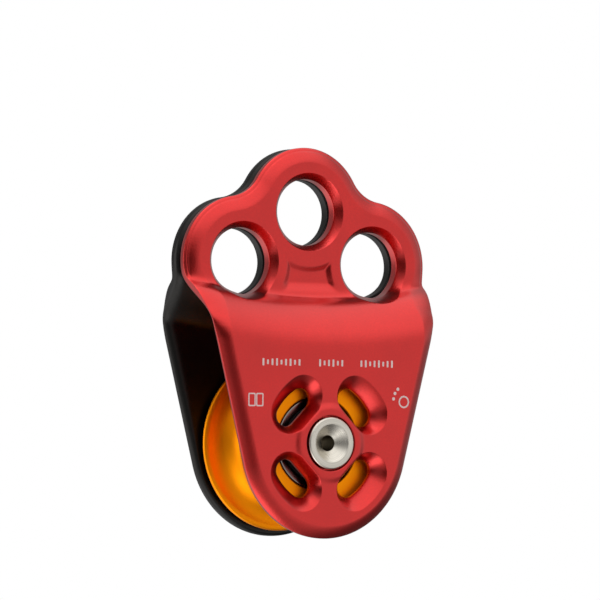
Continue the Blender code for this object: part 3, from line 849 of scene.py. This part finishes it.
def both_ways(half, middle=()):
    """A profile given outwards along +Y, any points on the middle plane, and the mirror image."""
    half = np.asarray(half, float)
    return np.concatenate([half, np.reshape(middle, (-1, 2)), half[::-1] * (1.0, -1.0)])

# %% [markdown]
# ## The sheave
#
# The wheel has a deep groove for the rope, whose section is half an ellipse, a rim at each side
# with a fine lip where it meets the groove, and a seat in each side for a bearing.

# %% Turn the sheave
TREAD_RADIUS, LIP_RADIUS, LIP_HALF_WIDTH = 13.3, 20.0, 7.75
BEARING_SEAT, WEB_HALF_WIDTH, WEB_BORE = 11.05, 2.3, 9.6
RIM_IN, RIM_BACK = 0.15, 0.75  # the rim's slope towards the lip
SHEAVE_ROUND = 0.35
GROOVE_START = 0.03  # radians past the lip, so that its edge stays fine

sides = softened(
    [
        (WEB_BORE, 0.0), (WEB_BORE, WEB_HALF_WIDTH),
        (BEARING_SEAT, WEB_HALF_WIDTH), (BEARING_SEAT, SHEAVE_HALF_WIDTH),
        (SHEAVE_RADIUS, SHEAVE_HALF_WIDTH),
        (SHEAVE_RADIUS - RIM_IN, SHEAVE_HALF_WIDTH - RIM_BACK),
        (LIP_RADIUS, LIP_HALF_WIDTH),
    ],
    SHEAVE_ROUND,
    closed=False,
)[1:]
down = np.linspace(GROOVE_START, np.pi / 2, 26)[:-1]
groove_radius = LIP_RADIUS - (LIP_RADIUS - TREAD_RADIUS) * np.sin(down)
groove = np.column_stack([groove_radius, LIP_HALF_WIDTH * np.cos(down)])
profile = both_ways(np.concatenate([sides, groove]), (TREAD_RADIUS, 0.0))
sheave = turned("sheave_wheel", profile, orange_sheave, segments=240)
dress(sheave, "sheave", "sheave_body")

# %% [markdown]
# ## The axle
#
# The pin is drilled through and formed over a conical punch at each end, which spreads a flat
# ring over the cheek's seat. The cone keeps the rings of the tool that cut it.

# %% Turn the axle
SHANK_RADIUS, HEAD_START, CONE_RADIUS, CONE_DEPTH, CENTRE_HOLE = 5.0, 12.7, 4.5, 2.1, 1.8
HEAD_CHAMFER, AXLE_ROUND = 0.3, 0.14

ends = softened(
    [
        (SHANK_RADIUS, 0.0),
        (SHANK_RADIUS, HEAD_START),
        (HEAD_RADIUS, HEAD_START),
        (HEAD_RADIUS, HEAD_FACE - HEAD_CHAMFER),
        (HEAD_RADIUS - HEAD_CHAMFER, HEAD_FACE),
        (CONE_RADIUS, HEAD_FACE),
        (CENTRE_HOLE, HEAD_FACE - CONE_DEPTH),
        (CENTRE_HOLE, 0.0),
    ],
    AXLE_ROUND,
    closed=False,
)[1:-1]
axle_pin = turned("axle_pin", both_ways(ends), stainless, segments=128)
dress(axle_pin, "axle", "rear_cheek_body")

# %% [markdown]
# ## The bearings
#
# Each bearing is a real deep-groove one: two races with a ball track, nine balls, a cage and two
# rubber seals. Little of it shows, but the outer race's rounded edge is seen in the windows.
# The cages keep their own solids, which have the right pockets, and take the nylon finish.

# %% Races, seals and balls
PITCH, BALL, TRACK = 8.0, 1.5875, 1.8
HALF_WIDTH, INNER_BORE, INNER_LAND, OUTER_LAND, OUTER_RADIUS = 3.0, 5.25, 7.0, 9.0, 10.8
RACE_ROUND, RING_ROUND, SEAL_ROUND = 0.3, 0.15, 0.08
SEAL_GAP, SEAL_LIP, SEAL_SLOPE_END, SEAL_DIP = 0.2, 0.35, 0.5, 0.3
BALL_SEGMENTS, BALLS = 32, 9


def track(land, sign):
    """The ball track: an arc a little wider than the ball, from one land edge to the other."""
    limit = math.acos(abs(PITCH - land) / TRACK)
    t = np.linspace(limit, -limit, 13)
    return np.column_stack([PITCH + sign * TRACK * np.cos(t), TRACK * np.sin(t)])


def race(bore_side, land, sign):
    """A race's profile: a plain cylinder on one side and the land with its track on the other."""
    w = HALF_WIDTH
    corners = softened([(land, -w), (bore_side, -w), (bore_side, w), (land, w)], RACE_ROUND)
    return np.concatenate([corners, track(land, sign)])


def seal_profile(y0, y1):
    """A seal between the races, from y0 inside to y1 outside, dished between two raised lips."""
    low, high, dip = INNER_LAND + SEAL_GAP, OUTER_LAND - SEAL_GAP, SEAL_DIP * (y1 - y0)
    skin = [
        (low, y0), (low, y1), (low + SEAL_LIP, y1), (low + SEAL_SLOPE_END, y1 - dip),
        (high - SEAL_SLOPE_END, y1 - dip), (high - SEAL_LIP, y1), (high, y1), (high, y0),
    ]
    return softened(skin, SEAL_ROUND, steps=3)


def add_ball(name, centre):
    """A sphere as rings of latitude v and longitude u: r (cos v cos u, cos v sin u, sin v)."""
    v = np.linspace(-np.pi / 2, np.pi / 2, BALL_SEGMENTS // 2 + 1)[1:-1, None]
    u = np.arange(BALL_SEGMENTS)[None, :] * 2 * np.pi / BALL_SEGMENTS
    ways = (np.cos(v) * np.cos(u), np.cos(v) * np.sin(u), np.sin(v))
    latitudes = np.stack(np.broadcast_arrays(*ways), axis=-1)
    points, faces = capped(latitudes, (0.0, 0.0, -1.0), (0.0, 0.0, 1.0))
    return make_object(name, points * BALL + centre, faces, bearing_steel)

# %% Build both bearings
for place in ("front", "rear"):
    middle = float(box_mm(f"{place}_bearing_outer_race")[:, 1].mean())
    inner = turned(f"{place}_inner_race", race(INNER_BORE, INNER_LAND, -1), bearing_steel, middle)
    dress(inner, f"{place}_bearing_inner_race", "rear_cheek_body")
    outer = turned(f"{place}_outer_race", race(OUTER_RADIUS, OUTER_LAND, 1), bearing_steel, middle)
    dress(outer, f"{place}_bearing_outer_race", "sheave_body")
    for facing in ("outer", "inner"):
        node = f"{place}_bearing_{facing}_seal"
        profile = seal_profile(*sorted(box_mm(node)[:, 1], key=abs))
        piece = turned(f"{place}_{facing}_seal_ring", profile, rubber)
        dress(piece, node, "sheave_body")
    for k in range(1, BALLS + 1):
        node = f"{place}_bearing_ball_{k}"
        piece = add_ball(f"{place}_ball_{k}", box_mm(node).mean(axis=0))
        dress(piece, node, f"{place}_ball_set")
    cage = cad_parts[f"{place}_bearing_cage"]
    cage.data.materials.clear()
    cage.data.materials.append(nylon)

# %% [markdown]
# The spacer keeps the inner races apart, and a thin washer beside each one keeps the cheek off the
# turning race. They are plain rings with small chamfers.

# %% Turn the spacer and the washers
for node, slot_name, finish in (
    ("bearing_spacer", "bearing_steel", bearing_steel),
    ("front_thrust_washer", "washer", acetal),
    ("rear_thrust_washer", "washer", acetal),
):
    low, high = box_mm(node)
    ring = [(INNER_BORE, low[1]), (INNER_BORE, high[1]), (high[0], high[1]), (high[0], low[1])]
    piece = turned(f"{node}_ring", softened(ring, RING_ROUND), finish)
    dress(piece, node, "rear_cheek_body")

# %% [markdown]
# ## The etched marks
#
# The lower face carries a row of small printed marks and a pictogram at each side. Here they are
# a plain pattern of bars, a pair of tiles and a ring with dots, which say nothing. Each is a slab
# a fiftieth of a millimetre proud of the metal: a closed loop carried from below the face to
# just above it.

# %% Shapes of the marks
MARK_PROUD, MARK_SUNK = 0.02, 0.15
SPECK = 0.02  # a slab without a hole closes on a loop this share of its size


def rounded_bar(x, h, width, height, radius):
    """A rounded rectangle: four quarter circles of points round the corners of a smaller one."""
    t = np.linspace(0, np.pi / 2, 4)
    turns = (np.arange(4)[:, None] * np.pi / 2 + t).ravel()
    signs = np.repeat([(1, 1), (-1, 1), (-1, -1), (1, -1)], 4, axis=0)
    corner = signs * (width / 2 - radius, height / 2 - radius)
    return np.array((x, h)) + corner + radius * np.column_stack([np.cos(turns), np.sin(turns)])


def slab(outer, hole=None):
    """A loop, with or without a hole of as many points, as (points, faces) of a closed slab."""
    if hole is None:
        middle = outer.mean(axis=0)
        hole = middle + SPECK * (outer - middle)
    top, bottom = LOWER_FACE + MARK_PROUD, LOWER_FACE - MARK_SUNK
    loops = ((outer, bottom), (outer, top), (hole, top), (hole, bottom))
    points = [np.column_stack([loop, np.full(len(loop), level)]) for loop, level in loops]
    return np.concatenate(points), grid_faces(4, len(outer), wrap_rows=True)

# %% Etch plain marks on the front cheek
BAR_LINE, BAR_PITCH, BAR_WIDTH, BAR_ROUND = 18.8, 1.22, 0.5, 0.14
BAR_HEIGHTS = (1.7, 1.1, 1.5)
BAR_GROUPS = ((-18.6, 9), (-3.2, 6), (8.2, 8))  # where each starts, and how many bars it has
BAR_INDENT = 0.45
TILES = (-21.15, -19.05)
TILE, TILE_HOLE = (10.0, 1.95, 3.1, 0.3), (10.0, 1.35, 2.5, 0.15)  # height, size, corner
RING, RING_HOLE = (20.6, 9.9, 3.0, 3.0, 1.49), (20.6, 9.9, 2.2, 2.2, 1.09)
DOTS = ((18.1, 11.9), (17.7, 10.6), (18.9, 12.9))

marks = []
for start, count in BAR_GROUPS:
    for k in range(count):
        tall = BAR_HEIGHTS[(k + count) % len(BAR_HEIGHTS)]
        x = start + BAR_INDENT + BAR_PITCH * k
        marks.append(slab(rounded_bar(x, BAR_LINE, BAR_WIDTH, tall, BAR_ROUND)))
marks += [slab(rounded_bar(x, *TILE), rounded_bar(x, *TILE_HOLE)) for x in TILES]
marks.append(slab(rounded_bar(*RING), rounded_bar(*RING_HOLE)))
marks += [slab(rounded_bar(x, h, 0.8, 0.8, 0.39)) for x, h in DOTS]
starts = np.cumsum([0] + [len(points) for points, _ in marks])
points = np.concatenate([points for points, _ in marks])
faces = np.concatenate([faces + start for (_, faces), start in zip(marks, starts)])
placed = np.column_stack([points[:, 0], -points[:, 2], points[:, 1] + AXLE_Z])
piece = make_object("front_cheek_etched_marks", placed, [faces], etched)
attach(piece, "front_cheek_body")

# %% [markdown]
# ## The studio
#
# The pulley hangs over a pale round table top, with one soft panel above it. Metal shows what it
# mirrors, so most of the light is the room itself: a grey sphere with soft round patches of light
# and shade, each placed where one face of the pulley looks.

# %% The table top
FLOOR_Z, FLOOR_RADIUS, FLOOR_THICKNESS = -160.0, 1200.0, 10.0  # in mm
FLOOR_RINGS, FLOOR_POINTS = 24, 96


def add_floor():
    """A round table top: rings of points at growing radius, and the same again underneath."""
    r = np.linspace(20.0, FLOOR_RADIUS, FLOOR_RINGS)[:, None]
    a = np.arange(FLOOR_POINTS)[None, :] * 2 * np.pi / FLOOR_POINTS
    top = np.stack(np.broadcast_arrays(r * np.cos(a), r * np.sin(a), FLOOR_Z), axis=-1)
    down = np.array((0.0, 0.0, -FLOOR_THICKNESS))
    middle = np.array((0.0, 0.0, FLOOR_Z))
    points, faces = capped(np.concatenate([top, (top + down)[::-1]]), middle, middle + down)
    made, tree, shader = new_finish("pale_matt_laminate", Roughness=0.7)
    two_tone(tree, shader, grain(tree, 30.0, 3.0), "#F6F5F3", "#F1F0EE")
    floor = make_object("floor", points, faces, made)
    floor.visible_glossy = False
    floor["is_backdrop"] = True


add_floor()

# %% [markdown]
# The room has a bright patch where the flat faces look, one overhead for the step's shoulder, two
# below for the step's underside and the rolls, and one at the left for the rolled edges. Dark
# patches round the camera give the deep red between the highlights.

# %% The room and the panel
WHITE = (1.0, 1.0, 1.0, 1.0)
LIGHT_AWAY = 1.2  # metres from the pulley's middle
LIGHT_AIM = Vector((0.0, 0.0, -0.03))
ROOM_SHADE = 0.5
ROOM = (
    # direction, degrees from it to the patch's edge and to its end, brightness
    ((-0.1, 1.0, 0.1), 30, 80, 0.3),  # behind the pulley
    ((0.52, -0.86, 0.0), 28, 60, 0.87),  # front right: the flat faces
    ((0.8, 0.1, -0.7), 20, 50, 0.12),  # right and below
    ((-0.6, 0.3, -0.74), 28, 58, 1.35),  # left and below
    ((-0.45, -0.3, -0.84), 15, 25, 2.2),  # front left and below
    ((0.0, -0.35, 1.0), 33, 56, 1.38),  # overhead: the shoulder
    ((-0.95, -0.31, 0.0), 12, 24, 0.06),  # left, dark
    ((-0.515, -0.857, 0.0), 13, 22, 0.05),  # round the camera, dark
    ((-0.78, -0.62, 0.0), 3, 8, 0.55),  # a narrow strip between the two dark patches
    ((-1.0, 0.3, 0.1), 14, 26, 2.4),  # left: the rolled edges
)


def softbox(name, direction, size, brightness):
    """A square panel that faces the object. A panel of radiance L gives pi times L per square
    metre, so the power follows from its size."""
    data = bpy.data.lights.new(name, "AREA")
    data.shape, data.size, data.size_y = "RECTANGLE", size, size
    data.energy = math.pi * size**2 * brightness
    made = bpy.data.objects.new(name, data)
    bpy.context.scene.collection.objects.link(made)
    way = Vector(direction).normalized()
    facing = way.to_track_quat("Z", "Y").to_matrix().to_4x4()
    made.matrix_world = Matrix.Translation(LIGHT_AIM + way * LIGHT_AWAY) @ facing
    made.visible_camera = False


def add_room():
    """The room as patches of light and shade on a sphere, each mixed over the ones before it. The
    camera itself sees plain white behind the pulley."""
    world = bpy.data.worlds.new("studio_room")
    bpy.context.scene.world = world
    world.use_nodes = True
    tree = world.node_tree
    way = add(tree, "ShaderNodeTexCoord").outputs["Generated"]
    shade = add(tree, "ShaderNodeValue").outputs[0]
    shade.default_value = ROOM_SHADE
    for direction, edge_at, ends_at, brightness in ROOM:
        toward = tuple(Vector(direction).normalized())
        facing = add(tree, "ShaderNodeVectorMath", {0: way, 1: toward}, operation="DOT_PRODUCT")
        limits = {
            "Value": facing.outputs["Value"],
            "From Min": math.cos(math.radians(ends_at)),
            "From Max": math.cos(math.radians(edge_at)),
        }
        patch = add(tree, "ShaderNodeMapRange", limits, interpolation_type="SMOOTHSTEP")
        links = {"Factor": patch.outputs["Result"], "A": shade, "B": brightness}
        shade = add(tree, "ShaderNodeMix", links).outputs["Result"]
    room = tree.nodes["Background"]
    room.inputs["Color"].default_value = WHITE
    tree.links.new(shade, room.inputs["Strength"])
    white = add(tree, "ShaderNodeBackground", {"Color": WHITE, "Strength": 1.0})
    seen = add(tree, "ShaderNodeLightPath").outputs["Is Camera Ray"]
    mixed = add(tree, "ShaderNodeMixShader", {0: seen, 1: room.outputs[0], 2: white.outputs[0]})
    tree.links.new(mixed.outputs[0], tree.nodes["World Output"].inputs["Surface"])


add_room()
softbox("overhead_panel", (-0.25, -0.1, 1.0), 0.5, 1.0)
bpy.context.scene.view_settings.view_transform = "Standard"
bpy.context.scene.view_settings.look = "None"
print("room of", len(ROOM), "patches, and one panel")

# %% [markdown]
# ## Sizes and the last checks
#
# The finished surfaces should fill the same box as the imported solids. The largest difference
# between the two boxes is printed.

# %% Compare the boxes and finish
shown_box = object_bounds()
largest = np.abs(np.array(cad_box) - np.array(shown_box)).max() / MM
print(f"largest difference {largest:.4f} mm")
